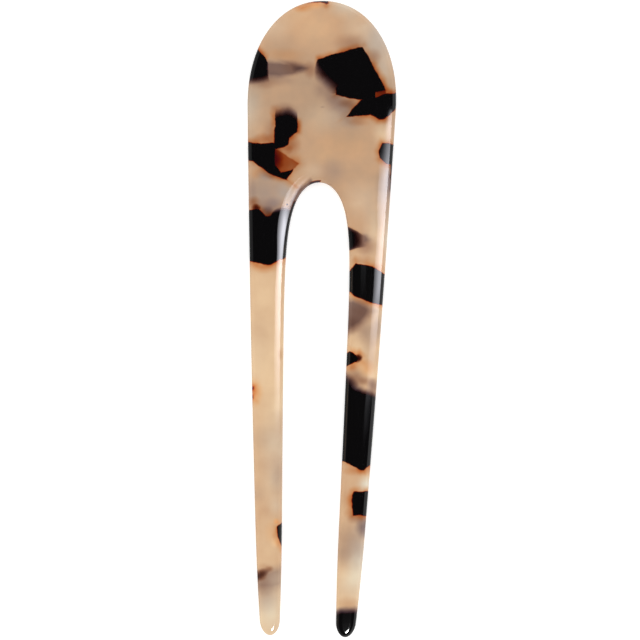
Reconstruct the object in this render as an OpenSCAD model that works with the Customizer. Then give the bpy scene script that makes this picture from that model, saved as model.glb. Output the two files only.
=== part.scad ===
// A U-shaped hairpin of the French type: a solid rounded head and two long legs,
// sawn out of one sheet of blond tortoiseshell acetate and tumbled until every edge
// is fully round. It lies on its back face: X across, Y towards the head, Z up.

/* [Pin] */
// Length from the top of the head to the tips of the legs
pin_length = 135; // [125:1:150]
// Thickness of the sheet that the pin is cut from
sheet_thick = 4; // [3.6:0.1:4.4]
// Thickness that is left at the tips after tumbling
tip_thick = 2.6; // [2.2:0.1:2.8]
// Depth below the top at which the legs start to thin
thin_from = 95; // [80:1:105]

/* [Head and sides] */
// Width that the two sides would reach at the top, without the rounded head
head_width = 33.1; // [31:0.1:35]
// Width over both legs at the tips
foot_width = 20.7; // [20.2:0.1:22]
// How far each side bows out at its middle
side_bow = 0.46; // [0.2:0.02:0.8]
// Depth of the rounded end of the head
head_round = 23; // [20:0.5:26]
// Squareness of the rounded end, where 2 is an ellipse
head_power = 2.1; // [2:0.05:2.4]

/* [Gap between the legs] */
// Depth below the top at which the gap starts
gap_from = 38.6; // [34:0.1:44]
// Width that the gap would have there, without its arch
gap_width = 14.9; // [13:0.1:16]
// Width of the gap at the tips
gap_foot = 11.2; // [10.6:0.1:11.6]
// Depth over which the arch of the gap opens out
gap_arch = 7.3; // [6.5:0.1:8.5]

/* [Tips] */
// Depth below the top at which the legs start to narrow
narrow_from = 113; // [105:1:120]
// Share of its width that each leg loses before its rounded end
narrow_share = 0.17; // [0.1:0.01:0.2]
// Length of each rounded end
tip_round = 3.1; // [2.9:0.1:3.3]

/* [Hidden] */

// Stations along half of the outline, from the axis of the head down to the tip
head_stations = 18;
side_stations = 8;
leg_stations = 20;
tip_stations = 6;
half = head_stations + side_stations + leg_stations + tip_stations;
// Steps round the edge, from the back face to the front face
edge_steps = 10;

leg_from = 64;
leg_end = pin_length - tip_round;
last_arch_angle = acos(exp(-(leg_from - gap_from) / (2 * gap_arch)));

function mix(a, b, share) = a + (b - a) * share;
function unit(v) = v / norm(v);

// Depths of the stations on the outer side and on the side of the gap, as two lists
// of the same length: the head's arch opposes the gap's arch, and then the legs match
function head_depth(k) =
    let (lift = pow(cos(90 * k / head_stations), 2 / head_power)) head_round * (1 - lift);
function gap_depth(k) =
    gap_from - 2 * gap_arch * ln(cos(last_arch_angle * k / (head_stations + side_stations)));
leg_depths = concat(
    [for (k = [1 : leg_stations]) mix(leg_from, leg_end, k / leg_stations)],
    [for (k = [1 : tip_stations]) leg_end + tip_round * sin(90 * k / tip_stations)]);
outer_depths = concat(
    [for (k = [0 : head_stations]) head_depth(k)],
    [for (k = [1 : side_stations]) mix(head_round, leg_from, k / side_stations)],
    leg_depths);
gap_depths = concat(
    [for (k = [0 : head_stations + side_stations]) gap_depth(k)],
    leg_depths);

// Half widths at a depth: of the whole pin, of the gap, and of one leg's taper
function outer_half(depth) =
    let (share = depth / pin_length,
         side = mix(head_width, foot_width, share) / 2 + 4 * side_bow * share * (1 - share),
         rise = max(0, 1 - depth / head_round))
    side * pow(1 - pow(rise, head_power), 1 / head_power);
function gap_half(depth) =
    let (share = (depth - gap_from) / (pin_length - gap_from),
         opened = 1 - exp(-max(0, depth - gap_from) / gap_arch))
    mix(gap_width, gap_foot, share) / 2 * sqrt(opened);
function leg_taper(depth) =
    let (narrow = max(0, depth - narrow_from) / (pin_length - narrow_from),
         end = min(1, max(0, depth - leg_end) / tip_round))
    (1 - narrow_share * narrow * narrow) * sqrt(1 - end * end);
function leg_middle(depth) = (outer_half(depth) + gap_half(depth)) / 2;
function leg_half(depth) = (outer_half(depth) - gap_half(depth)) / 2 * leg_taper(depth);

// One point of the outline, for side 1 on the outside and -1 along the gap
function edge_x(depth, side) =
    depth < narrow_from
        ? (side > 0 ? outer_half(depth) : gap_half(depth))
        : leg_middle(depth) + side * leg_half(depth);
function spot(depth, side) = [edge_x(depth, side), pin_length / 2 - depth];

// The closed outline: out and down the right side, round the tip, up and over the
// gap, round the left tip, and back up to the head
right_side = concat(
    [for (k = [0 : half]) spot(outer_depths[k], 1)],
    [for (k = [half - 1 : -1 : 1]) spot(gap_depths[k], -1)]);
left_side = [for (k = [2 * half - 1 : -1 : 1]) [-right_side[k].x, right_side[k].y]];
outline = concat(right_side, [spot(gap_from, -1)], left_side);
count = len(outline);

// Towards the material, square to the outline at one of its points
function inward(i) =
    let (along = outline[(i + 1) % count] - outline[(i + count - 1) % count])
    unit([along.y, -along.x]);
function half_thick(depth) =
    let (share = max(0, depth - thin_from) / (pin_length - thin_from))
    mix(sheet_thick, tip_thick, share * share) / 2;

// The rounded edge at one point of the outline, as a half circle
function edge_ring(i) =
    let (r = half_thick(pin_length / 2 - outline[i].y))
    [for (j = [0 : edge_steps])
        let (turn = 180 * j / edge_steps - 90,
             flat = outline[i] + inward(i) * r * (1 - cos(turn)))
        [flat.x, flat.y, sheet_thick / 2 + r * sin(turn)]];

// Each outline point's partner across the material, which is itself at a tip
function partner(i) = (2 * half - i + count) % count;
function corner(i, j) = (i % count) * (edge_steps + 1) + j;

module pin() {
    points = [for (i = [0 : count - 1]) each edge_ring(i)];
    edges = [for (i = [0 : count - 1], j = [0 : edge_steps - 1])
        [corner(i, j), corner(i + 1, j), corner(i + 1, j + 1), corner(i, j + 1)]];
    faces = [for (i = [-half : half - 1], top = [false, true])
        let (a = (i + count) % count,
             b = (i + 1 + count) % count,
             j = top ? edge_steps : 0,
             ring = [corner(a, j), corner(b, j), corner(partner(b), j), corner(partner(a), j)],
             whole = partner(a) == a ? [ring[0], ring[1], ring[2]]
                   : partner(b) == b ? [ring[0], ring[1], ring[3]] : ring)
        top ? whole : [for (k = [len(whole) - 1 : -1 : 0]) whole[k]]];
    color("#d3bd93") polyhedron(points, concat(edges, faces));
}

pin();
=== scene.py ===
from math import acos, cos, exp, hypot, log, pi, radians, sin, sqrt

import bpy
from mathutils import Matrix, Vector


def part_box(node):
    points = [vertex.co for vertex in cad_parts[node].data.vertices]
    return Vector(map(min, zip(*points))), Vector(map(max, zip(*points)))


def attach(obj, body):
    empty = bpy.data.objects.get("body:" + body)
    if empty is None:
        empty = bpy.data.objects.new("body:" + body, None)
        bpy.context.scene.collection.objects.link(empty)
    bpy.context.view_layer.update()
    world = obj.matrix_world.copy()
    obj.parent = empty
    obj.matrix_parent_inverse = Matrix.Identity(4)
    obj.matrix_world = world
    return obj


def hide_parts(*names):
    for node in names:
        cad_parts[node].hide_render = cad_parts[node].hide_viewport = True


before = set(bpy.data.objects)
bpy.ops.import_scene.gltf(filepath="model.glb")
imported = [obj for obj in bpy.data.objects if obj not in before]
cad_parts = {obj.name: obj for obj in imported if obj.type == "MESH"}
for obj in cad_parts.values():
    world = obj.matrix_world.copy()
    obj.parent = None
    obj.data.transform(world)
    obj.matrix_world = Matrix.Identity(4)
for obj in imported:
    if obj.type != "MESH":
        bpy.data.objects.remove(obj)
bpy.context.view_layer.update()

scene = bpy.context.scene

# The pin. A French hairpin sawn out of one sheet of blond tortoiseshell acetate: a
# solid rounded head and two long legs. It is tumbled in barrels of wood pegs and
# polish for days, which rounds its edges fully and thins the tips of the legs.
# Sizes are in mm, as in the part's source, and a depth is below the top of the head.
mm = 0.001
low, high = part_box("pin")
pin_length = (high.y - low.y) / mm
sheet_thick = (high.z - low.z) / mm
tip_thick = 2.6
thin_from = 95

head_width = 33.1
foot_width = 20.7
side_bow = 0.46
head_round = 23
head_power = 2.1
gap_from = 38.6
gap_width = 14.9
gap_foot = 11.2
gap_arch = 7.3
narrow_from = 113
narrow_share = 0.17
tip_round = 3.1

# Stations along half of the outline, from the top of the head down to a tip. From
# leg_from on, those on the outside and those along the gap lie at the same depths.
head_stations = 64
side_stations = 36
leg_stations = 72
tip_stations = 24
half = head_stations + side_stations + leg_stations + tip_stations
leg_from = 64
leg_end = pin_length - tip_round
last_arch_angle = acos(exp(-(leg_from - gap_from) / (2 * gap_arch)))


def mix(a, b, share):
    return a + (b - a) * share


def outer_half(depth):
    """Half the width of the pin at a depth below the top of its head, in mm."""
    share = depth / pin_length
    side = mix(head_width, foot_width, share) / 2 + 4 * side_bow * share * (1 - share)
    rise = max(0, 1 - depth / head_round)
    return side * (1 - rise ** head_power) ** (1 / head_power)


def gap_half(depth):
    """Half the width of the gap between the legs, which opens out from its arch."""
    share = (depth - gap_from) / (pin_length - gap_from)
    opened = 1 - exp(-max(0, depth - gap_from) / gap_arch)
    return mix(gap_width, gap_foot, share) / 2 * sqrt(opened)


def edge_x(depth, side):
    """The edge of the right leg, for side 1 on the outside and -1 along the gap."""
    outer, inner = outer_half(depth), gap_half(depth)
    if depth < narrow_from:
        return outer if side > 0 else inner
    narrow = (depth - narrow_from) / (pin_length - narrow_from)
    end = min(1, max(0, depth - leg_end) / tip_round)
    taper = (1 - narrow_share * narrow * narrow) * sqrt(max(0, 1 - end * end))
    return (outer + inner) / 2 + side * (outer - inner) / 2 * taper


head_depths = [head_round * (1 - cos(pi / 2 * k / head_stations) ** (2 / head_power))
               for k in range(head_stations + 1)]
side_depths = [mix(head_round, leg_from, k / side_stations)
               for k in range(1, side_stations + 1)]
arch_stations = head_stations + side_stations
arch_depths = [gap_from - 2 * gap_arch * log(cos(last_arch_angle * k / arch_stations))
               for k in range(arch_stations + 1)]
leg_depths = [mix(leg_from, leg_end, k / leg_stations) for k in range(1, leg_stations + 1)]
leg_depths += [leg_end + tip_round * sin(pi / 2 * k / tip_stations)
               for k in range(1, tip_stations + 1)]

# The sawn outline as a closed loop: down the right side, round its tip and up to the
# top of the gap, then the same on the left, back to the head
right_side = [(edge_x(depth, 1), depth) for depth in head_depths + side_depths + leg_depths]
right_side += [(edge_x(depth, -1), depth) for depth in (arch_depths + leg_depths)[-2:0:-1]]
left_side = [(-x, depth) for x, depth in right_side[:0:-1]]
loop = right_side + [(0, gap_from)] + left_side
outline = bpy.data.meshes.new("sawn outline")
outline.from_pydata(
    [(x * mm, (pin_length / 2 - depth) * mm, 0) for x, depth in loop],
    [(k, (k + 1) % len(loop)) for k in range(len(loop))], [])


def add(tree, kind, *inputs, **settings):
    """Adds a node with its settings; each input is a value, a socket or a node."""
    node = tree.nodes.new(kind)
    for name, value in settings.items():
        setattr(node, name, value)
    for socket, value in zip([s for s in node.inputs if s.enabled], inputs):
        if isinstance(value, bpy.types.Node):
            value = next(s for s in value.outputs if s.enabled)
        if isinstance(value, bpy.types.NodeSocket):
            tree.links.new(value, socket)
        elif value is not None:
            socket.default_value = value
    return node


# The tree rounds the sheet between each outline point and its partner across the
# material: round the outer edge, over the front face, round the gap's edge and back
# under. A grid carries it, with a row for each station from the left tip, over the
# head, to the right tip, and a column for each step round the section. Where the reach
# is 1 an edge is a half circle. The reach varies in patches of about 17 mm, and the arch
# of the gap and the right of the neck are worn down wider.
sheet = bpy.data.node_groups.new("tumbled sheet", "GeometryNodeTree")
SIZES = {
    "Outline": ("NodeSocketGeometry", None),
    "Thickness": ("NodeSocketFloat", sheet_thick * mm),
    "Tip Thickness": ("NodeSocketFloat", tip_thick * mm),
    "Thin From": ("NodeSocketFloat", (pin_length / 2 - thin_from) * mm),
    "Tip At": ("NodeSocketFloat", low.y),
    "Edge Reach": ("NodeSocketFloat", 1.03),
    "Tip Reach": ("NodeSocketFloat", 0.85),
    "Unevenness": ("NodeSocketFloat", 0.3),
    "Patches Per Metre": ("NodeSocketFloat", 60.0),
    "Arch Reach": ("NodeSocketFloat", 0.38),
    "Arch At": ("NodeSocketVector", (0, (pin_length / 2 - 43) * mm, 0)),
    "Neck Reach": ("NodeSocketFloat", 0.3),
    "Neck At": ("NodeSocketVector", (15 * mm, (pin_length / 2 - 35) * mm, 0)),
    "Worn Within": ("NodeSocketFloat", 6 * mm),
    "Worn Until": ("NodeSocketFloat", 14 * mm),
    "Stations": ("NodeSocketInt", half),
    "Edge Steps": ("NodeSocketInt", 24),
    "Face Steps": ("NodeSocketInt", 8),
    "Material": ("NodeSocketMaterial", None),
}
for name, (kind, value) in SIZES.items():
    sheet.interface.new_socket(name, in_out="INPUT", socket_type=kind)
sheet.interface.new_socket("Sheet", in_out="OUTPUT", socket_type="NodeSocketGeometry")
size = add(sheet, "NodeGroupInput").outputs

ring = add(sheet, "FunctionNodeIntegerMath", size["Edge Steps"], size["Face Steps"],
           operation="ADD")
around = add(sheet, "FunctionNodeIntegerMath", ring, 2, operation="MULTIPLY")
columns = add(sheet, "FunctionNodeIntegerMath", around, 1, operation="ADD")
points = add(sheet, "FunctionNodeIntegerMath", size["Stations"], 4, operation="MULTIPLY")
turnback = add(sheet, "FunctionNodeIntegerMath", size["Stations"], 2, operation="MULTIPLY")
rows = add(sheet, "FunctionNodeIntegerMath", turnback, 1, operation="ADD")
grid = add(sheet, "GeometryNodeMeshGrid", 1.0, 1.0, rows, columns)

# On the outline: the direction into the material, and half the thickness
index = add(sheet, "GeometryNodeInputIndex")
place = add(sheet, "GeometryNodeInputPosition")
neighbours = []
for offset in (1, -1):
    beside = add(sheet, "FunctionNodeIntegerMath", index, offset, operation="ADD")
    beside = add(sheet, "FunctionNodeIntegerMath", beside, points, operation="FLOORED_MODULO")
    neighbours.append(
        add(sheet, "GeometryNodeFieldAtIndex", place, beside, data_type="FLOAT_VECTOR"))
along = add(sheet, "ShaderNodeVectorMath", *neighbours, operation="SUBTRACT")
inward = add(sheet, "ShaderNodeVectorMath", along, (0, 0, 1), operation="CROSS_PRODUCT")
inward = add(sheet, "ShaderNodeVectorMath", inward, operation="NORMALIZE")
level = add(sheet, "ShaderNodeSeparateXYZ", place).outputs["Y"]
thinned = add(sheet, "ShaderNodeMapRange", level, size["Thin From"], size["Tip At"], 0.0, 1.0)
thinned = add(sheet, "ShaderNodeMath", thinned, 2.0, operation="POWER")
thick = add(sheet, "ShaderNodeMix", thinned, size["Thickness"], size["Tip Thickness"])
radius = add(sheet, "ShaderNodeMath", thick, 0.5, operation="MULTIPLY")

# How far in the rounding reaches, as a vector into the material
reach = add(sheet, "ShaderNodeMix", thinned, size["Edge Reach"], size["Tip Reach"])
uneven = add(sheet, "ShaderNodeTexNoise", place, size["Patches Per Metre"], 1.0, 0.5)
uneven = add(sheet, "ShaderNodeMath", uneven.outputs[0], 0.5, operation="SUBTRACT")
uneven = add(sheet, "ShaderNodeMath", uneven, size["Unevenness"], 1.0, operation="MULTIPLY_ADD")
for worn in ("Arch", "Neck"):
    wear = add(sheet, "ShaderNodeVectorMath", place, size[worn + " At"], operation="DISTANCE")
    wear = add(sheet, "ShaderNodeMapRange", wear, size["Worn Within"], size["Worn Until"],
               size[worn + " Reach"], 0.0, interpolation_type="SMOOTHSTEP")
    uneven = add(sheet, "ShaderNodeMath", uneven, wear, operation="ADD")
reach = add(sheet, "ShaderNodeMath", reach, uneven, operation="MULTIPLY")
reach = add(sheet, "ShaderNodeMath", reach, radius, operation="MULTIPLY")
inward = add(sheet, "ShaderNodeVectorMath", inward, reach, operation="MULTIPLY")

# On the grid: the station, and the turn and the crossing of each step
row = add(sheet, "ShaderNodeMath", index, columns, operation="DIVIDE")
row = add(sheet, "FunctionNodeFloatToInt", row, rounding_mode="FLOOR")
station = add(sheet, "FunctionNodeIntegerMath", row, size["Stations"], operation="SUBTRACT")
step = add(sheet, "FunctionNodeIntegerMath", index, columns, operation="FLOORED_MODULO")
far_edge = add(sheet, "FunctionNodeIntegerMath", ring, size["Edge Steps"], operation="ADD")
rise = add(sheet, "ShaderNodeMapRange", step, 0.0, size["Edge Steps"], -pi / 2, pi / 2)
fall = add(sheet, "ShaderNodeMapRange", step, ring, far_edge, 0.0, pi)
turn = add(sheet, "ShaderNodeMath", rise, fall, operation="SUBTRACT")
front = add(sheet, "ShaderNodeMapRange", step, size["Edge Steps"], ring, 0.0, 1.0)
back = add(sheet, "ShaderNodeMapRange", step, far_edge, around, 0.0, 1.0)
across = add(sheet, "ShaderNodeMath", front, back, operation="SUBTRACT")
lift = add(sheet, "ShaderNodeMath", turn, operation="SINE")
inset = add(sheet, "ShaderNodeMath", turn, operation="COSINE")
inset = add(sheet, "ShaderNodeMath", 1.0, inset, operation="SUBTRACT")

# The rounded edge at the station and at its partner, and the face between the two
middle = add(sheet, "ShaderNodeMath", size["Thickness"], 0.5, operation="MULTIPLY")
pair = []
partner = add(sheet, "FunctionNodeIntegerMath", turnback, station, operation="SUBTRACT")
for end in (station, partner):
    point = add(sheet, "FunctionNodeIntegerMath", end, points, operation="FLOORED_MODULO")
    edge, heading, rounding = (
        add(sheet, "GeometryNodeSampleIndex", size["Outline"], field, point, data_type=kind)
        for field, kind in ((place, "FLOAT_VECTOR"), (inward, "FLOAT_VECTOR"), (radius, "FLOAT")))
    height = add(sheet, "ShaderNodeMath", lift, rounding, middle, operation="MULTIPLY_ADD")
    height = add(sheet, "ShaderNodeCombineXYZ", 0.0, 0.0, height)
    edge = add(sheet, "ShaderNodeVectorMath", heading, inset, edge, operation="MULTIPLY_ADD")
    pair.append(add(sheet, "ShaderNodeVectorMath", edge, height, operation="ADD"))
spot = add(sheet, "ShaderNodeMix", across, *pair, data_type="VECTOR")

# Where the grid's rows and columns close on themselves, its points are merged
body = add(sheet, "GeometryNodeSetPosition", grid, True, spot)
body = add(sheet, "GeometryNodeMergeByDistance", body, True, 1e-6)
body = add(sheet, "GeometryNodeFlipFaces", body, True)
body = add(sheet, "GeometryNodeSetShadeSmooth", body, True, True)
body = add(sheet, "GeometryNodeRealizeInstances", body)
body = add(sheet, "GeometryNodeSetMaterial", body, True, size["Material"])
add(sheet, "NodeGroupOutput", body)

# Cellulose acetate in a blond tortoiseshell, cast from chips: slabs of dark brown are
# pressed into a milky blond and the block is sliced, so the pattern runs through the
# sheet. A chip that stands steep has a crisp side with an orange rim, where it is thin
# enough to let light through, and one that dips under the blond fades out in grey. The
# tumbling leaves a wet gloss on it.
acetate = bpy.data.materials.new("blond tortoiseshell cellulose acetate")
acetate.use_nodes = True
pattern = acetate.node_tree
gloss = pattern.nodes["Principled BSDF"]


def linear(text):
    """An sRGB hex colour as linear red, green, blue and alpha."""
    parts = [int(text[k:k + 2], 16) / 255 for k in (1, 3, 5)]
    return [p / 12.92 if p <= 0.04045 else ((p + 0.055) / 1.055) ** 2.4 for p in parts] + [1]


# The chart's own coordinates in mm: across, down from the top of the head, and into
# the sheet from its front face. They wander to and fro in steps of wander_size, over
# wander_width, as the edges of pressed chips do.
wander_size, wander_width = 2.5, 0.8
own = add(pattern, "ShaderNodeTexCoord").outputs["Object"]
chart = add(pattern, "ShaderNodeMapping", own, (0, pin_length / 2, sheet_thick), None,
            (1 / mm, -1 / mm, -1 / mm))
into = add(pattern, "ShaderNodeSeparateXYZ", chart).outputs["Z"]
wander = add(pattern, "ShaderNodeTexNoise", chart, 1 / wander_size, 2.0, 0.5)
wander = add(pattern, "ShaderNodeVectorMath", wander.outputs["Color"], (0.5, 0.5, 0.5),
             operation="SUBTRACT")
flat = add(pattern, "ShaderNodeVectorMath", wander, (wander_width, wander_width, 0.0), chart,
           operation="MULTIPLY_ADD")
flat = add(pattern, "ShaderNodeVectorMath", flat, (1, 1, 0), (0, 0, 1), operation="MULTIPLY_ADD")

# Chips charted off the real one: dye, where 1 is black, strength of the orange rim, lean
# across and down per mm into the sheet, depth of the chip's top under the front face,
# and its corners. A corner's third value is the width in mm over which the side that
# starts there fades, where it isn't crisp.
crisp_width = 0.45
CHIPS = [
    (1, 0.9, (0.1, 0.1), 0, [(-1.2, 12.6), (5.2, 10.6), (8.35, 9.65), (13.1, 18.0), (13.4, 18.7),
     (11.5, 19.1), (3.5, 19.5, 3.6), (-1.35, 15.1, 1.2), (-1.4, 13.6)]),
    (1, 0.5, (0.1, 0.1), 0, [(2.9, 18.4), (6, 16), (11.4, 18), (11.3, 20.6), (8.2, 20.85),
     (5, 20.5), (2.95, 19.95)]),
    (1, 0.7, (0.1, 0.1), 0, [(5.4, 24.5), (6.5, 22.9), (8.3, 20.9), (11, 19.5), (12, 22),
     (11.5, 23.9)]),
    (1, 0.8, (0.1, 0.1), 0, [(10.6, 20.6), (13.4, 19.4), (17, 19.4), (17, 21.4), (14.7, 23.8),
     (13.2, 24.7), (12.1, 24.85), (10.4, 24.0)]),
    (0.42, 0.4, (0, 0), 0, [(11.2, 20.6), (11.3, 18.6), (13.5, 18.5), (13.7, 19.6)]),
    (1, 1, (-0.2, 0.2), 0, [(-17, 9), (-13.9, 11.2), (-12.3, 12.4), (-11.6, 13.8, 0.9),
     (-11.55, 16.9, 2.2), (-17, 17.9)]),
    (1, 1.1, (0, -0.3), 0, [(-10.25, 25.2), (-9.9, 24.3, 2.2), (-8.8, 23.8, 2.8),
     (-6.3, 23.7, 2.2), (-5.2, 24.7), (-5.1, 28.2), (-6.3, 29.1), (-9.5, 31.0), (-9.6, 28.5)]),
    (1, 0.9, (0, 0), 0, [(-9.8, 27.0), (-7.3, 27.6), (-6.7, 28.9), (-7.0, 30.8), (-8.0, 31.4),
     (-9.9, 31.9)]),
    (1, 0.8, (0, 0), 0, [(-17, 30.6), (-9.6, 30.6), (-9.5, 37.4), (-10.8, 36.95),
     (-17, 32.9)]),
    (1, 0.8, (0, 0), 0, [(-10.3, 35.2), (-9.4, 35.4), (-7, 38.3), (-8.8, 37.75), (-10.8, 36.9)]),
    (1, 0.6, (0, 0), 0, [(-8.2, 36.8), (-5.7, 35.9), (-7.05, 38.25), (-8.5, 37.5)]),
    (0.34, 0.3, (0, 0), 0, [(-10.2, 31.6), (-8.9, 31.9), (-4.3, 34.7), (-4.8, 35.3),
     (-5.9, 36.3), (-8.4, 37.2), (-10.2, 36.5)]),
    (0.62, 0.5, (0, 0), 0, [(-1.3, -0.6), (0.7, -0.6), (0.8, 0.65), (0.4, 0.95), (-0.1, 0.75),
     (-1.2, 0.35)]),
    (0.54, 0.4, (0, 0), 0, [(-4.1, -0.6), (0.3, -0.6), (0.3, 0.4), (-1.5, 0.5), (-3.8, 0.75)]),
    (1, 1, (-0.1, 0), 0, [(13.1, 29.9), (14.5, 30.0), (17, 30.3), (17, 34.6), (14.3, 34.3),
     (12.5, 33.1), (12.5, 31.7)]),
    (0.8, 0, (-0.1, 0), 0.8, [(14.9, 34), (17, 34), (17, 42.2), (14.9, 42.0)]),
    (0.6, 0, (0, 0), 0.9, [(0.4, 37.5), (0, 39.3), (-2.4, 39.4), (-1.6, 37.6)]),
    (0.7, 0, (0, 0), 0.75, [(-5.2, 42.6), (-4.2, 42.9), (-5.5, 45.6), (-6.5, 45.4)]),
    (1, 1.1, (0, 0), 0, [(-17, 46.0), (-5, 46.0), (-5, 53.6), (-10.2, 56.5), (-11, 56.65),
     (-12.8, 56.1), (-17, 55.85)]),
    (1, 0.7, (0, 0), 0, [(-15.2, 45.1), (-13.9, 44.7), (-12.7, 44.8), (-11.6, 45.6), (-11, 46.4),
     (-11, 47), (-15.2, 47)]),
    (1, 0.2, (0, -0.3), 0, [(-10.7, 46.4), (-9.7, 45.3, 0.8), (-8.9, 44.7, 1.6), (-5, 44.2),
     (-5, 47), (-10.7, 47)]),
    (1, 0.8, (0.3, 0), 0, [(5, 46.8), (6.5, 47.8, 1.4), (9, 49.5, 4.2), (9, 52.0, 1.3),
     (7.8, 52.5), (6.9, 52.8), (5, 53.2)]),
    (1, 0.7, (0, 0), 0, [(5.6, 58.9), (7.5, 56.3), (8.4, 55.2), (10.4, 55.1), (12.4, 56.5),
     (17, 57.6), (17, 64.9), (12, 63.85), (9.9, 63.3), (8.4, 62.6), (6, 60.9)]),
    (1, 0.9, (0, 0), 0, [(6, 75.1), (7.35, 74.25), (7.95, 74.4), (8.9, 75.2), (9.0, 76.4),
     (7.3, 77.15), (6, 77.6)]),
    (0.34, 0.8, (0, 0), 0, [(8.2, 74.9), (9.2, 74.7), (9.95, 75.5), (9.75, 76.2), (8.6, 76.6)]),
    (1, 1, (0, -0.2), 0, [(4, 76.2, 2.4), (12, 85.2), (12, 97.9), (11, 99.3), (10.3, 99.3),
     (6.5, 97.1), (4, 95.6)]),
    (1, 0.9, (0, -0.2), 0, [(6, 81.0, 2.2), (14.6, 83.8), (14.2, 97), (11.9, 98.4), (10.9, 99.3),
     (10.3, 99.3), (6, 96.9)]),
    (1, 0.75, (0, 0), 0, [(8.75, 105.0), (9, 104.2), (9.5, 103.95), (14, 103.8), (14, 108.95),
     (9, 108.95), (8.7, 107.9), (8.6, 106.3)]),
    (1, 0.3, (0, -0.4), 0, [(4, 129.3, 2.4), (12.5, 128.5), (12.5, 137), (4, 137)]),
    (0.55, 0.6, (0, 0), 0, [(-14.3, 82.3), (-12.75, 82.4), (-12.7, 83), (-14.3, 83.1)]),
    (0.55, 0.6, (0, 0), 0, [(-14.3, 83.9), (-12.7, 84.0), (-12.7, 84.7), (-14.2, 84.8)]),
    (1, 0.9, (0, 0), 0, [(-7.1, 112.0), (-6.6, 111.3), (-5, 110.3), (-5, 117), (-6.2, 115.6),
     (-6.8, 113.9)]),
]
# Chips that lie whole under the blond and only shade it, and one painted shade named where
# it stands: how dark, and their corners
BURIED_AND_PAINTED_SHADE = [
    (0.36, [(7.5, 49.0, 1.0), (10.2, 49.4, 1.2), (11.2, 50.5, 1.4), (9.9, 52.0, 1.4),
     (7.5, 52.4, 1.2)]),
    # Painted shade: the next one greys the outer part of the arch's rounded edge, at its left
    (0.42, [(-2.0, 37.9, 0.9), (-4.8, 40.2, 0.9), (-6.1, 42.8, 0.9), (-6.7, 44.6, 0.9),
     (-4.5, 44.9, 0.9), (-0.8, 39.4, 0.9)]),
    (0.39, [(-12.5, 13.1, 1.4), (-5.5, 13.4, 1.3), (-3.0, 14.3, 1.0), (-3.8, 15.4, 1.0),
     (-6.2, 16.1, 1.0), (-8.0, 16.5, 1.6), (-12.5, 16.9, 1.8)]),
    (0.52, [(-8.6, 13.1, 1.8), (-5.5, 13.3, 1.5), (-3.0, 14.3, 1.1), (-3.8, 15.4, 1.0),
     (-6.3, 15.9, 1.4), (-7.2, 16.2, 4.5)]),
    (0.44, [(5, 62.8, 2.0), (9.0, 63.0, 2.4), (12.8, 65.4, 2.8), (11.2, 67.8, 2.6),
     (8.2, 70.0, 2.0), (5, 72.8, 2.2)]),
    (0.52, [(-12.5, 121.4, 1.6), (-10.6, 121.3, 1.6), (-7.6, 120.3, 1.6), (-8.4, 121.7, 2.4),
     (-9.6, 123.3, 2.4), (-12.5, 125.2, 2.4)]),
    (0.3, [(-12.5, 122.5, 2.0), (-8, 120.5, 2.0), (-5, 119.2, 2.5), (-5, 125, 2.5), (-8, 126, 3),
     (-12.5, 125.5, 2.5)]),
]


def chip_sides(corners):
    """Each side's fade width, and its plane: 0 where the fade starts, 1 where it ends."""
    corners = [(*corner, crisp_width)[:3] for corner in corners]
    ends = corners[1:] + corners[:1]
    area = sum(x0 * y1 - x1 * y0 for (x0, y0, _), (x1, y1, _) in zip(corners, ends))
    for (x0, y0, fade), (x1, y1, _) in zip(corners, ends):
        reach = hypot(x1 - x0, y1 - y0) * fade * (1 if area > 0 else -1)
        right, down = (y0 - y1) / reach, (x1 - x0) / reach
        yield fade, (right, down, 0.5 - right * x0 - down * y0)


# A chip is where all its sides' planes are above 0. Its corners are rounded where two
# sides meet, and its top fades over roof_fade. The rim is full on the side itself and
# gone 1.6 mm outside it. Behind a soft side, the black of the chip only starts in the
# last quarter of the fade, and the rest of it is shadow.
corner_round, roof_fade = 0.5, 0.3
rim_slope, rim_level = 0.28, 0.86
core_slope, core_level = 4.0, -3.0
dye = shadow = halo = 0.0
for strength, rim, lean, roof, corners in CHIPS:
    leaning = add(pattern, "ShaderNodeVectorMath", into, (*lean, 0), flat, operation="MULTIPLY_ADD")
    crisp, soft = [], []
    for fade, plane in chip_sides(corners):
        side = add(pattern, "ShaderNodeVectorMath", leaning, plane, operation="DOT_PRODUCT")
        (soft if fade > crisp_width else crisp).append(side)
    if roof:
        crisp.append(add(pattern, "ShaderNodeMath", into, 1 / roof_fade, 0.5 - roof / roof_fade,
                         operation="MULTIPLY_ADD"))
    for group in (crisp, soft):
        while len(group) > 1:
            group[:2] = [add(pattern, "ShaderNodeMath", *group[:2], corner_round,
                             operation="SMOOTH_MIN")]
    chip = crisp[0]
    near = add(pattern, "ShaderNodeMath", chip, rim_slope, rim_level, operation="MULTIPLY_ADD",
               use_clamp=True)
    if soft:
        shade = add(pattern, "ShaderNodeMath", soft[0], chip, operation="MINIMUM", use_clamp=True)
        shadow = add(pattern, "ShaderNodeMath", shadow, shade, operation="MAXIMUM")
        core = add(pattern, "ShaderNodeMath", soft[0], core_slope, core_level,
                   operation="MULTIPLY_ADD")
        chip = add(pattern, "ShaderNodeMath", chip, core, operation="MINIMUM")
        near = add(pattern, "ShaderNodeMath", near, soft[0], operation="MINIMUM")
    if strength < 1:
        chip = add(pattern, "ShaderNodeMath", chip, 1.0, operation="MULTIPLY", use_clamp=True)
        chip = add(pattern, "ShaderNodeMath", chip, strength, operation="MULTIPLY")
    dye = add(pattern, "ShaderNodeMath", dye, chip, operation="MAXIMUM", use_clamp=True)
    if rim:
        near = add(pattern, "ShaderNodeMath", near, sqrt(rim), operation="MULTIPLY")
        halo = add(pattern, "ShaderNodeMath", halo, near, operation="MAXIMUM")
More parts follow.
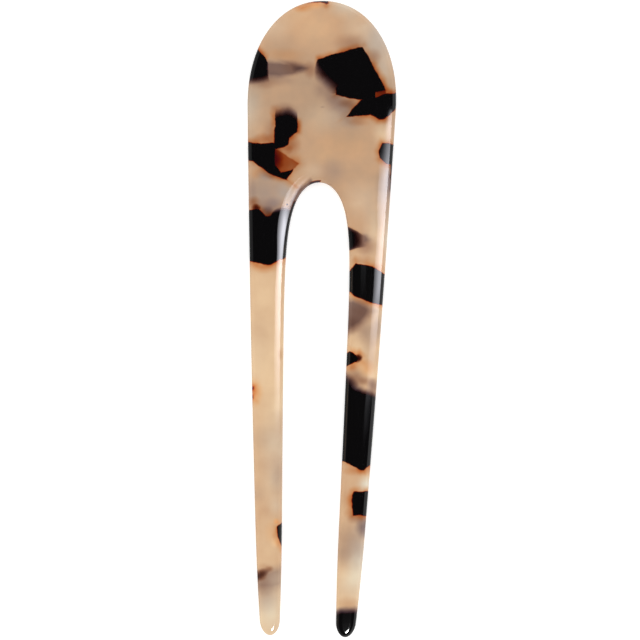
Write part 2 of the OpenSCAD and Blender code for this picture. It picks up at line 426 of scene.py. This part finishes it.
for strength, corners in BURIED_AND_PAINTED_SHADE:
    shades = [add(pattern, "ShaderNodeVectorMath", flat, plane, operation="DOT_PRODUCT")
              for fade, plane in chip_sides(corners)]
    while len(shades) > 1:
        shades[:2] = [add(pattern, "ShaderNodeMath", *shades[:2], corner_round,
                          operation="SMOOTH_MIN")]
    shade = add(pattern, "ShaderNodeMath", *shades, 1.0, operation="MULTIPLY", use_clamp=True)
    shade = add(pattern, "ShaderNodeMath", shade, strength, operation="MULTIPLY")
    shadow = add(pattern, "ShaderNodeMath", shadow, shade, operation="MAXIMUM")

# How much dye the light meets on its way: it piles up fast from a chip's side inwards.
# The rims come and go in patches of about 3 mm, from a quarter of their strength to 1.6
# times it.
full_brown, full_grey, patches_per_mm = 25.0, 6.0, 0.3
dye = add(pattern, "ShaderNodeMath", dye, 3.0, operation="POWER")
halo = add(pattern, "ShaderNodeMath", halo, 2.0, operation="POWER")
patchy = add(pattern, "ShaderNodeTexNoise", chart, patches_per_mm, 1.0, 0.5)
patchy = add(pattern, "ShaderNodeMapRange", patchy.outputs[0], 0.35, 0.65, 0.25, 1.6)
halo = add(pattern, "ShaderNodeMath", halo, patchy, operation="MULTIPLY")
shadow = add(pattern, "ShaderNodeMath", shadow, 2.0, operation="POWER")
shadow = add(pattern, "ShaderNodeMath", shadow, full_grey, operation="MULTIPLY")
shadow = add(pattern, "ShaderNodeMath", dye, full_grey, shadow, operation="MULTIPLY_ADD")
dye = add(pattern, "ShaderNodeMath", dye, full_brown, halo, operation="MULTIPLY_ADD")

# Stains and milky places in the blond, and a painted highlight and painted shade that are
# named where they stand: across, down, half width, half depth, and the brown dye and the grey
# shade that each adds. Less than none is a paler place.
CLOUDS_AND_PAINTED_LIGHT = [
    # the head
    (5, 0.5, 6, 4.5, -0.35, 0), (11.5, 8, 5, 9, -0.34, 0.12), (13.5, 14.5, 2.5, 6, -0.2, 0),
    (-10.5, 6, 5, 5, -0.16, 0), (-2, 6, 6, 6, 0, -0.15), (-4.8, 1.7, 3, 1.3, 0.45, -0.1),
    # The first cloud below is a painted highlight: a paler, pinkish band under the head's top edge
    (-1.8, 1.0, 2.6, 1.2, 0.15, -0.25), (0.2, 1.2, 1.2, 0.8, 0.25, 0.05),
    (5.6, 8.9, 4.5, 2.6, 0.1, 0.3), (7, 5.5, 4.5, 4, -0.16, 0), (-8, 11.7, 5.5, 1.8, 0.2, -0.08),
    (10.8, 11.6, 2, 2.4, 0.2, 0.2), (-11, 16.4, 4, 1.6, 0, 0.15),
    (-12.6, 17.8, 4.5, 1.8, 0.15, 0.3), (-6, 14.2, 4, 2.6, 0.2, 0),
    (12.9, 17.3, 1.6, 2.6, 0.35, 0), (14.2, 18.8, 1.4, 1.2, 0.5, 0),
    (-2.6, 14.8, 2, 2.4, 0.2, 0.35), (-8.5, 17.2, 4, 1.6, 0, 0.2), (0.3, 18.8, 3, 3, 0, 0.3),
    (2.8, 21, 3, 3.4, 0, 0.54), (5.2, 23, 3, 2.8, 0, 0.35), (5.4, 21.7, 2.6, 1.4, 0.32, 0.34),
    (3, 24, 4, 5, -0.11, 0.08), (7.8, 25.6, 3.4, 1.3, 0.3, 0), (12.5, 19.3, 1.4, 1, 0, 0.3),
    (6.6, 25.6, 3.4, 2.2, -0.1, 0.25), (-15.5, 23.5, 4.5, 8, -0.24, -0.05),
    # between the chips on the left and below them
    (-8, 23.2, 3.5, 1.8, 0.1, 0.3), (-9.7, 23.7, 1.8, 1.6, 0.35, 0),
    (-11, 28.2, 2, 3.6, 0.1, 0.2), (-11.8, 29.7, 3.4, 1.5, 0.5, 0.1),
    (-6, 30.8, 2.4, 2.6, 0.4, 0.25), (-5, 33.6, 2, 2, 0.2, -0.05), (-7, 31.8, 1.4, 1.2, 0.4, 0.1),
    (-9.7, 33.8, 2.3, 3.6, 2.0, 1.0), (-6.2, 34.8, 3, 2, 0, 0.02),
    (-8.2, 34.2, 2.4, 2.6, 0.6, 0.05), (-11.3, 37.4, 3, 1.6, -0.2, 0.35),
    (-13.3, 37.2, 1.8, 1.6, 0.25, -0.1), (-11, 41.2, 7, 6, -0.2, 0.36),
    (-14.4, 41, 1.6, 4.5, -0.05, 0.25), (-11, 44.6, 5, 3, 0, 0.5),
    (-7, 41, 3.2, 3.4, -0.25, 0.18), (-9.4, 43.2, 2.4, 1.8, -0.12, 0.3),
    (-10.7, 45.3, 1.8, 1.8, 0, 0.8), (-13.9, 43.2, 1.8, 1.5, 0.55, 0.2),
    (-13.4, 44.4, 1.3, 1.0, 1.8, 1.4), (-6.75, 43.6, 0.3, 0.3, 0, 3),
    # the middle of the neck and the right leg down to the dark chips
    (-0.5, 25, 5, 5, -0.08, -0.1), (13, 28, 3, 3.5, -0.14, -0.24), (5, 30.5, 9, 4.5, 0.08, -0.12),
    (0, 32.8, 4.5, 3, 0.04, -0.13), (2.6, 36.4, 4.2, 3.6, -0.08, 0.25),
    (-1.6, 36.2, 3.5, 3, -0.14, 0), (9.5, 42, 7, 6, -0.16, 0), (11.8, 49, 2.8, 7.5, -0.2, -0.12),
    # The two clouds below and the one 50 mm down after them are painted shade: they grey the blond
    # along the right edge, under the strip panel's mirrored band, and the last also pales it
    (14.3, 39.5, 3, 8, -0.2, 0.5), (15.2, 37.5, 1.6, 5.5, -0.2, 0.7),
    (13.4, 68.5, 1.6, 5, -0.05, 0.35), (14.6, 50, 1.3, 9, -0.35, 0.1),
    (10.4, 51.9, 3.4, 3, 0.12, 0.38), (8, 51.1, 1.5, 1.6, 0.3, 1),
    (9.5, 54.9, 3.5, 1.3, 0.15, 0.15), (0.2, 22.7, 0.8, 0.3, 0, 0.25),
    # the left leg
    (-11.5, 57, 4, 1.5, 0.35, 0), (-12, 73, 5, 10, 0, 0.08), (-7.3, 86, 2, 4, -0.05, -0.1),
    (-12.6, 83.5, 2.2, 4, 0.4, -0.12), (-7.3, 75.2, 0.9, 2, 0.15, 0.15),
    (-7.3, 97, 5.5, 17, -0.2, 0.03), (-10.3, 93.2, 5, 4, 0, 0.15), (-7.2, 101.5, 2.5, 5, 0, 0.2),
    (-11.6, 105, 2.5, 3, 0, 0.15), (-8.3, 113, 2, 3.4, 0.1, -0.06),
    (-7.4, 107.5, 2.2, 3, -0.12, 0), (-7.3, 110.8, 1, 1, 0.35, -0.25),
    (-7.3, 115.2, 1.4, 1.6, 0, -0.16), (-10.9, 122.4, 2.2, 1.5, 1.0, 0.9),
    (-9.6, 121.6, 1.3, 1, 0.5, 0.6), (-8.5, 120.9, 1.3, 0.9, 0.3, 0.35),
    (-10, 124.8, 3, 2.6, 0.08, 0.16), (-7, 122.6, 2.8, 2.8, -0.1, -0.14),
    (-9.8, 120.6, 2.6, 1.2, 0.1, 0.1), (-8.3, 122, 3.5, 3.2, 0, 0.15),
    (-9, 127, 4.5, 4.5, 0, 0.3), (-8, 130, 5, 8, -0.22, 0),
    # the right leg's lower half
    (11.6, 70.2, 3, 5, 0, 0.45), (7.4, 68.6, 3.4, 2.6, 0.25, 0.4), (9.4, 66, 4, 3.4, 0.25, 0.25),
    (9.6, 70, 2.6, 3.4, 0.05, 0.3), (9.1, 75.7, 1.2, 1.2, 0.3, 3), (11.5, 75, 3.5, 4, 0, 0.14),
    (8, 77.7, 2.4, 1.4, 0.4, 0.2), (8.6, 79.9, 3.4, 2.6, 0.3, 0.75),
    (10.8, 80.6, 2.2, 1.6, 0.2, 0.4), (11, 77.6, 2.2, 2.4, 0.36, 0),
    (12.5, 81.5, 1.6, 2.2, 0.15, 0.85), (9, 99.6, 3.5, 1.2, 0.3, 0),
    (11.6, 102.4, 2.8, 3, -0.45, -0.03), (9.6, 109.7, 2.6, 1.4, 0.15, 0.3),
    (8.3, 108.6, 1.5, 1.6, 0.3, 0.1), (11.6, 111.4, 2.6, 3.2, -0.08, 1.1),
    (8.8, 115.3, 5.5, 7, 0, 0.41), (7, 117.6, 2.5, 3.2, 0, 0.15), (10.8, 119, 4, 12, -0.32, 0),
    (8, 123.5, 3.5, 5, -0.14, 0), (8, 106, 2, 3, 0.15, 0), (8.3, 127.8, 4, 2, 0.15, 0.15),
]
for across_at, down_at, half_width, half_depth, brown, grey in CLOUDS_AND_PAINTED_LIGHT:
    blot = add(pattern, "ShaderNodeVectorMath", flat, (1 / half_width, 1 / half_depth, 0),
               (-across_at / half_width, -down_at / half_depth, 0), operation="MULTIPLY_ADD")
    blot = add(pattern, "ShaderNodeVectorMath", blot, operation="LENGTH")
    blot = add(pattern, "ShaderNodeMapRange", blot, 1.0, 0.0, 0.0, 1.0,
               interpolation_type="SMOOTHSTEP")
    if brown:
        dye = add(pattern, "ShaderNodeMath", blot, brown, dye, operation="MULTIPLY_ADD")
    if grey:
        shadow = add(pattern, "ShaderNodeMath", blot, grey, shadow, operation="MULTIPLY_ADD")

# The blond itself: how light it is at some depths, from the head to the tips, with
# clouds of about 8 mm cast into it, and its tones from the darkest to the lightest
STOPS = [(0, 0.6), (10, 0.45), (20, 0.3), (30, 0.4), (45, 0.5), (60, 0.8), (80, 0.95), (95, 0.65),
         (105, 0.6), (115, 0.75), (132, 0.9)]
clouds_per_mm, cloud_share = 0.13, 0.6
TONES = [(0, "#a08872"), (0.3, "#b8987c"), (0.55, "#cda480"), (1, "#e8c79f")]
down = add(pattern, "ShaderNodeSeparateXYZ", chart).outputs["Y"]
length = add(pattern, "ShaderNodeMath", down, 1 / pin_length, operation="MULTIPLY")
drift = add(pattern, "ShaderNodeValToRGB", length)
while len(drift.color_ramp.elements) < len(STOPS):
    drift.color_ramp.elements.new(0.5)
for element, (at, value) in zip(drift.color_ramp.elements, STOPS):
    element.position = at / pin_length
    element.color = (value, value, value, 1)
cloudy = add(pattern, "ShaderNodeTexNoise", chart, clouds_per_mm, 3.0, 0.5)
cloudy = add(pattern, "ShaderNodeMath", cloudy.outputs[0], cloud_share, -cloud_share / 2,
             operation="MULTIPLY_ADD")
lightness = add(pattern, "ShaderNodeMath", drift.outputs[0], cloudy, operation="ADD")
blond = add(pattern, "ShaderNodeValToRGB", lightness)
while len(blond.color_ramp.elements) < len(TONES):
    blond.color_ramp.elements.new(0.5)
for element, (at, tone) in zip(blond.color_ramp.elements, TONES):
    element.position = at
    element.color = linear(tone)

# Each dye takes its own share out of red, green and blue. The brown leaves red longest,
# so a thin layer of it is orange, and a thick one black.
TAKEN = [(0.25, 1.0), (1.0, 1.06), (1.7, 0.81)]
deepest_black = linear("#0b0a0b")[:3]
passed = []
for brown, grey in TAKEN:
    taken = add(pattern, "ShaderNodeMath", shadow, -grey, operation="MULTIPLY")
    taken = add(pattern, "ShaderNodeMath", dye, -brown, taken, operation="MULTIPLY_ADD")
    passed.append(add(pattern, "ShaderNodeMath", taken, operation="EXPONENT"))
passed = add(pattern, "ShaderNodeCombineXYZ", *passed)
colour = add(pattern, "ShaderNodeVectorMath", blond, passed, operation="MULTIPLY")
colour = add(pattern, "ShaderNodeVectorMath", colour, deepest_black, operation="MAXIMUM")
pattern.links.new(colour.outputs[0], gloss.inputs["Base Color"])
gloss.inputs["IOR"].default_value = 1.49
gloss.inputs["Roughness"].default_value = 0.06

# The sawn blank goes through the tree and comes out as one plain mesh. Its first slot
# is the empty one that a grid starts with.
blank = bpy.data.objects.new("pin blank", outline)
scene.collection.objects.link(blank)
tumbling = blank.modifiers.new("tumbled sheet", "NODES")
tumbling.node_group = sheet
for socket in sheet.interface.items_tree:
    if socket.in_out == "INPUT" and socket.name != "Outline":
        value = SIZES[socket.name][1]
        tumbling[socket.identifier] = acetate if socket.name == "Material" else value
worked = blank.evaluated_get(bpy.context.evaluated_depsgraph_get())
hairpin = bpy.data.objects.new("hairpin", bpy.data.meshes.new_from_object(worked))
hairpin.data.materials.pop(index=0)
scene.collection.objects.link(hairpin)
bpy.data.objects.remove(blank)

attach(hairpin, "root")
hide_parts("pin")

# The table, of matt white paper, just under the pin. It glows a little, so that no
# shadow shows on it, and it is clear from below, so that the pin's back can be seen.
# The pin's polish doesn't mirror it.
table_radius, rim_steps, table_drop = 3.0, 96, 0.02
white = bpy.data.materials.new("matt white paper")
white.use_nodes = True
paper = white.node_tree.nodes["Principled BSDF"]
paper.inputs["Base Color"].default_value = linear("#e6e6e4")
paper.inputs["Roughness"].default_value = 0.9
paper.inputs["Specular IOR Level"].default_value = 0.2
paper.inputs["Emission Color"].default_value = linear("#ffffff")
paper.inputs["Emission Strength"].default_value = 0.5
white.cycles.emission_sampling = "NONE"
under = add(white.node_tree, "ShaderNodeNewGeometry").outputs["Backfacing"]
clear = add(white.node_tree, "ShaderNodeBsdfTransparent")
one_sided = add(white.node_tree, "ShaderNodeMixShader", under, paper, clear)
surface = white.node_tree.nodes["Material Output"].inputs["Surface"]
white.node_tree.links.new(one_sided.outputs[0], surface)
rim_angles = [2 * pi * k / rim_steps for k in range(rim_steps)]
table = bpy.data.meshes.new("paper table")
table.from_pydata(
    [(table_radius * cos(a), table_radius * sin(a), -table_drop * mm) for a in rim_angles],
    [], [tuple(range(rim_steps))])
table.materials.append(white)
paper_table = bpy.data.objects.new("paper_table", table)
scene.collection.objects.link(paper_table)
paper_table.visible_glossy = False

# A white light tent lights the pin evenly from all sides. What the polish mirrors of it
# is its low walls, less of them at the left, and a greyer floor in place of the table.
# Above the walls it mirrors only the three lamps that follow, which are there for the
# polish alone.
tent_light, floor_light, left_light = 1.05, 0.55, 0.4
wall_full, wall_top = 0.05, 0.3
tent = bpy.data.worlds.new("white light tent")
tent.use_nodes = True
air = tent.node_tree
backdrop = air.nodes["Background"]
backdrop.inputs["Color"].default_value = linear("#ffffff")
toward = add(air, "ShaderNodeSeparateXYZ", add(air, "ShaderNodeTexCoord").outputs["Generated"])
ground = add(air, "ShaderNodeMapRange", toward.outputs["Z"], -0.05, 0.02, floor_light, 1.0)
wall = add(air, "ShaderNodeMapRange", toward.outputs["Z"], wall_full, wall_top, 1.0, 0.0)
mirrored = add(air, "ShaderNodeMath", ground, wall, operation="MINIMUM")
dim_left = add(air, "ShaderNodeMapRange", toward.outputs["X"], -0.5, 0.1, left_light, 1.0)
mirrored = add(air, "ShaderNodeMath", mirrored, dim_left, operation="MULTIPLY")
glossy = add(air, "ShaderNodeLightPath").outputs["Is Glossy Ray"]
shine = add(air, "ShaderNodeMix", glossy, tent_light, mirrored)
air.links.new(shine.outputs[0], backdrop.inputs["Strength"])
tent.cycles.sampling_method = "NONE"
scene.world = tent

# A strip panel of lit cloth, bent on an arc round the pin's long axis, from nearly
# overhead to low at the right, for the edges that face right. It dims upwards and to
# both of its ends, and its hood darkens it for what it doesn't face.
panel_radius, panel_radiance, overhead_share = 0.22, 11.2, 0.3
panel_foot, full_from, full_to, panel_head = -0.036, 0.002, 0.034, 0.044
arc_from, arc_to, arc_steps = 6, 78, 40
hood_from, hood_to = 0.2, 0.55
cloth = bpy.data.materials.new("lit white cloth")
cloth.use_nodes = True
cloth.cycles.emission_sampling = "NONE"
lit = cloth.node_tree
lit.nodes.remove(lit.nodes["Principled BSDF"])
cloth_spot = add(lit, "ShaderNodeTexCoord").outputs["Object"]
cloth_spot = add(lit, "ShaderNodeSeparateXYZ", cloth_spot).outputs
glow = add(lit, "ShaderNodeMapRange", cloth_spot["X"], 0.1 * panel_radius, 0.75 * panel_radius,
           overhead_share * panel_radiance, panel_radiance)
foot_fade = add(lit, "ShaderNodeMapRange", cloth_spot["Y"], panel_foot, full_from, 0.0, 1.0)
foot_fade = add(lit, "ShaderNodeMath", foot_fade, 2.0, operation="POWER")
head_fade = add(lit, "ShaderNodeMapRange", cloth_spot["Y"], full_to, panel_head, 1.0, 0.0)
behind = add(lit, "ShaderNodeNewGeometry").outputs["Backfacing"]
lit_face = add(lit, "ShaderNodeMath", 1.0, behind, operation="SUBTRACT")
slant = add(lit, "ShaderNodeLayerWeight", 0.5).outputs["Facing"]
hooded = add(lit, "ShaderNodeMapRange", slant, hood_from, hood_to, 1.0, 0.0)
for share in (foot_fade, head_fade, lit_face, hooded):
    glow = add(lit, "ShaderNodeMath", glow, share, operation="MULTIPLY")
glow = add(lit, "ShaderNodeEmission", linear("#f6f6ff"), glow)
lit.links.new(glow.outputs[0], lit.nodes["Material Output"].inputs["Surface"])
arc = [radians(mix(arc_from, arc_to, k / arc_steps)) for k in range(arc_steps + 1)]
strip = bpy.data.meshes.new("strip_panel")
strip.from_pydata(
    [(panel_radius * sin(a), y, panel_radius * cos(a))
     for y in (panel_foot, panel_head) for a in arc],
    [], [(k, k + arc_steps + 1, k + arc_steps + 2, k + 1) for k in range(arc_steps)])
strip.materials.append(cloth)
strip_panel = bpy.data.objects.new("strip_panel", strip)
scene.collection.objects.link(strip_panel)
strip_panel.visible_camera = strip_panel.visible_diffuse = strip_panel.visible_shadow = False

# A lamp head held low over the gap, for the rounded edge of the left leg's inner side.
# It dims from its middle towards the tips, at the arch, and towards one long side.
gap_radiance, gap_tilt, gap_away = 3.1, radians(46), 0.0135
lamp_width, gap_low, gap_high = 0.024, -0.01, 0.0265
leg_edge_x, edge_height = -0.0075, 0.003
side_dim, tips_dim, arch_dim = (0.0, 0.9, 0.05, 1.4), (0.4, 0.76, 0.0, 1.0), (0.85, 1.0, 1.0, 0.0)
gap_light = bpy.data.lights.new("gap lamp", "AREA")
gap_light.shape, gap_light.size, gap_light.size_y = "RECTANGLE", lamp_width, gap_high - gap_low
gap_light.energy = gap_radiance * pi * gap_light.size * gap_light.size_y
gap_light.spread = radians(92)
gap_light.color = linear("#f6f6ff")[:3]
gap_light.use_nodes = True
bulb = gap_light.node_tree
over = add(bulb, "ShaderNodeNewGeometry").outputs["Parametric"]
over = add(bulb, "ShaderNodeSeparateXYZ", over)
aside = add(bulb, "ShaderNodeMapRange", over.outputs["X"], *side_dim)
lower = add(bulb, "ShaderNodeMapRange", over.outputs["Y"], *tips_dim)
upper = add(bulb, "ShaderNodeMapRange", over.outputs["Y"], *arch_dim)
dimmed = add(bulb, "ShaderNodeMath", aside, lower, operation="MULTIPLY")
dimmed = add(bulb, "ShaderNodeMath", dimmed, upper, operation="MULTIPLY")
bulb.links.new(dimmed.outputs[0], bulb.nodes["Emission"].inputs["Strength"])
gap_way = Vector((sin(gap_tilt), 0, cos(gap_tilt)))
gap_lamp = bpy.data.objects.new("gap lamp", gap_light)
gap_lamp.location = Vector((leg_edge_x, (gap_low + gap_high) / 2, edge_height)) + gap_away * gap_way
gap_lamp.rotation_euler = (0, gap_tilt, 0)
gap_lamp.visible_camera = gap_lamp.visible_diffuse = False
scene.collection.objects.link(gap_lamp)

# A small window that only the polish of the two tips shows
window_turn, window_tilt, window_away = radians(-60), radians(24), 0.12
window_radiance, tips_y = 17, -0.0655
window_way = Vector((sin(window_tilt) * cos(window_turn), sin(window_tilt) * sin(window_turn),
                     cos(window_tilt)))
window_light = bpy.data.lights.new("tip window", "AREA")
window_light.shape, window_light.size, window_light.size_y = "ELLIPSE", 0.02, 0.038
window_light.energy = window_radiance * pi * window_light.size * window_light.size_y * pi / 4
window_light.spread = radians(40)
tip_window = bpy.data.objects.new("tip window", window_light)
tip_window.location = Vector((0, tips_y, edge_height)) + window_away * window_way
tip_window.rotation_euler = window_way.to_track_quat("Z", "Y").to_euler()
tip_window.visible_camera = tip_window.visible_diffuse = False
scene.collection.objects.link(tip_window)

# The camera looks straight down on the pin, which lies a little turned in its frame
frame_width, stand_off = 135.97, 900
aim_right, aim_up, roll = 0.85, -0.28, 1.543
eye = bpy.data.cameras.new("camera")
eye.sensor_width = 36
eye.lens = eye.sensor_width * stand_off / frame_width
camera = bpy.data.objects.new("camera", eye)
camera.location = (aim_right * mm, aim_up * mm, (stand_off + sheet_thick / 2) * mm)
camera.rotation_euler = (0, 0, radians(roll))
scene.collection.objects.link(camera)
scene.camera = camera
scene.view_settings.view_transform = "Standard"
